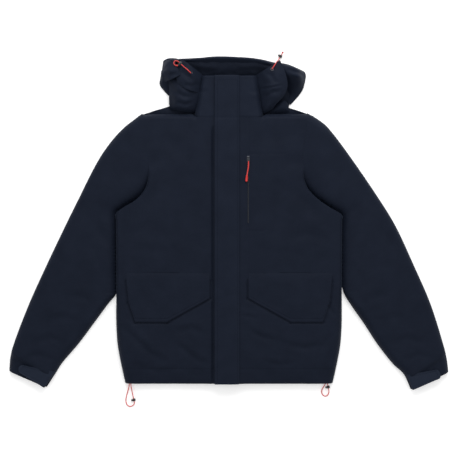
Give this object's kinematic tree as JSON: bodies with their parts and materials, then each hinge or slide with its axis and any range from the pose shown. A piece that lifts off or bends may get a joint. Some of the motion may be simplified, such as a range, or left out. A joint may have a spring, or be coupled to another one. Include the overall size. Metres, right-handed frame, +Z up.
{
  "type": "foul weather jacket",
  "caption": "Hooded foul weather jacket laid on its back, with zipped front under a storm flap, chest and hand pockets, cuff tabs and elastic cords with cord locks.",
  "frame": {"origin": "on the underside of the back panel, on the line of the body, half way between the cuffs and the top of the hood", "axes": "+Z up from the surface that the jacket lies on, through its back and front; +X to the wearer's left; +Y from the hem to the hood"},
  "size_m": [1.17, 0.9376, 0.0557],
  "materials": {
    "shell": "matt, finely woven, very dark navy",
    "lining": "matt, smooth dark navy lining",
    "tape": "matt woven tape, nearly black",
    "zip_plastic": "moulded, nearly black",
    "hook_and_loop": "matt pile and hooks, nearly black",
    "red_cord": "braided elastic cord, red",
    "pull_grip": "moulded, orange red",
    "lock_plastic": "moulded, dark brown grey, slight sheen",
    "eyelet_metal": "dark painted metal, satin"
  },
  "bodies": {
    "jacket": {"back_panel": "shell", "front_panel_right": "shell", "front_panel_left": "shell", "collar_back": "shell", "collar_front_right": "shell", "collar_front_left": "shell", "back_lining": "lining", "front_lining_right": "lining", "front_lining_left": "lining", "inner_flap": "lining", "chest_pocket_bag": "lining", "hand_pocket_bag_right": "lining", "hand_pocket_bag_left": "lining", "hem_tunnel": "lining", "hanger_loop": "tape", "zip_tape_right": "tape", "zip_tape_left": "tape", "chest_zip_tape": "tape", "zip_chain": "zip_plastic", "zip_retainer_box": "zip_plastic", "chest_zip_chain": "zip_plastic", "chest_zip_stop": "zip_plastic", "flap_loop_strip": "hook_and_loop", "hem_right_cord": "red_cord", "hem_left_cord": "red_cord", "hem_elastic": "red_cord"},
    "flap": {"storm_flap": "shell", "flap_hook_strip": "hook_and_loop"},
    "front_slider": {"main_slider": "zip_plastic", "main_pull": "zip_plastic"},
    "chest_slider": {"chest_slider": "zip_plastic"},
    "chest_pull": {"chest_pull_cord": "red_cord", "chest_pull_grip": "pull_grip"},
    "pocket_flap_right": {"pocket_flap_right": "shell"},
    "pocket_flap_left": {"pocket_flap_left": "shell"},
    "sleeve_right": {"sleeve_front_right": "shell", "sleeve_back_right": "shell", "cuff_loop_patch_right": "hook_and_loop"},
    "sleeve_left": {"sleeve_front_left": "shell", "sleeve_back_left": "shell", "cuff_loop_patch_left": "hook_and_loop"},
    "cuff_tab_right": {"cuff_tab_right": "shell", "cuff_hook_patch_right": "hook_and_loop"},
    "cuff_tab_left": {"cuff_tab_left": "shell", "cuff_hook_patch_left": "hook_and_loop"},
    "hood": {"hood_side_right": "shell", "hood_side_left": "shell", "hood_back": "shell", "hood_eyelet_right": "eyelet_metal", "hood_eyelet_left": "eyelet_metal", "hood_right_cord": "red_cord", "hood_left_cord": "red_cord"},
    "hem_right_lock": {"hem_right_lock": "lock_plastic"},
    "hem_right_plunger": {"hem_right_plunger": "lock_plastic"},
    "hem_left_lock": {"hem_left_lock": "lock_plastic"},
    "hem_left_plunger": {"hem_left_plunger": "lock_plastic"},
    "hood_right_lock": {"hood_right_lock": "lock_plastic"},
    "hood_right_plunger": {"hood_right_plunger": "lock_plastic"},
    "hood_left_lock": {"hood_left_lock": "lock_plastic"},
    "hood_left_plunger": {"hood_left_plunger": "lock_plastic"}
  },
  "joints": [
    {"name": "storm_flap_turn", "type": "hinge", "parent": "jacket", "child": "flap", "pos_m": [0.0274, -0.015, 0.0324], "axis": [0, 1, 0], "range_deg": [0, 140]},
    {"name": "front_zip_slide", "type": "slide", "parent": "jacket", "child": "front_slider", "axis": [0, -1, 0], "range_m": [0, 0.76]},
    {"name": "chest_zip_slide", "type": "slide", "parent": "jacket", "child": "chest_slider", "axis": [0, -1, 0], "range_m": [0, 0.156]},
    {"name": "chest_pull_turn", "type": "hinge", "parent": "chest_slider", "child": "chest_pull", "pos_m": [0.0505, 0.1685, 0.0332], "axis": [-1, 0, 0], "range_deg": [0, 175]},
    {"name": "pocket_flap_right_turn", "type": "hinge", "parent": "jacket", "child": "pocket_flap_right", "pos_m": [-0.16, -0.128, 0.032], "axis": [-1, 0, 0], "range_deg": [0, 172]},
    {"name": "pocket_flap_left_turn", "type": "hinge", "parent": "jacket", "child": "pocket_flap_left", "pos_m": [0.16, -0.128, 0.032], "axis": [-1, 0, 0], "range_deg": [0, 172]},
    {"name": "sleeve_right_fold", "type": "hinge", "parent": "jacket", "child": "sleeve_right", "pos_m": [-0.299, 0.134, 0.03], "axis": [0, 1, 0], "range_deg": [0, 85]},
    {"name": "sleeve_left_fold", "type": "hinge", "parent": "jacket", "child": "sleeve_left", "pos_m": [0.299, 0.134, 0.03], "axis": [0, -1, 0], "range_deg": [0, 85]},
    {"name": "cuff_tab_right_turn", "type": "hinge", "parent": "sleeve_right", "child": "cuff_tab_right", "pos_m": [-0.473, -0.40985, 0.026], "axis": [0.5531, 0.8331, 0], "range_deg": [0, 165]},
    {"name": "cuff_tab_left_turn", "type": "hinge", "parent": "sleeve_left", "child": "cuff_tab_left", "pos_m": [0.473, -0.40985, 0.026], "axis": [0.5531, -0.8331, 0], "range_deg": [0, 165]},
    {"name": "hood_fold", "type": "hinge", "parent": "jacket", "child": "hood", "pos_m": [0, 0.292, 0.03], "axis": [1, 0, 0], "range_deg": [0, 80]},
    {"name": "hem_right_lock_slide", "type": "slide", "parent": "jacket", "child": "hem_right_lock", "axis": [-0.2013, 0.9791, 0.0299], "range_m": [0, 0.022]},
    {"name": "hem_right_plunger_press", "type": "slide", "parent": "hem_right_lock", "child": "hem_right_plunger", "axis": [0.9795, 0.2013, 0], "range_m": [0, 0.002], "stiffness_N_per_m": 350, "springref_m": -0.0005},
    {"name": "hem_left_lock_slide", "type": "slide", "parent": "jacket", "child": "hem_left_lock", "axis": [0.1801, -0.9824, -0.0491], "range_m": [0, 0.006]},
    {"name": "hem_left_plunger_press", "type": "slide", "parent": "hem_left_lock", "child": "hem_left_plunger", "axis": [0.9836, 0.1803, 0], "range_m": [0, 0.002], "stiffness_N_per_m": 350, "springref_m": -0.0005},
    {"name": "hood_right_lock_slide", "type": "slide", "parent": "hood", "child": "hood_right_lock", "axis": [0.7534, -0.6575, 0], "range_m": [0, 0.01]},
    {"name": "hood_right_plunger_press", "type": "slide", "parent": "hood_right_lock", "child": "hood_right_plunger", "axis": [0.6575, 0.7534, 0], "range_m": [0, 0.002], "stiffness_N_per_m": 350, "springref_m": -0.0005},
    {"name": "hood_left_lock_slide", "type": "slide", "parent": "hood", "child": "hood_left_lock", "axis": [0.5039, 0.8638, 0], "range_m": [0, 0.005]},
    {"name": "hood_left_plunger_press", "type": "slide", "parent": "hood_left_lock", "child": "hood_left_plunger", "axis": [0.8638, -0.5039, 0], "range_m": [0, 0.002], "stiffness_N_per_m": 350, "springref_m": -0.0005}
  ]
}
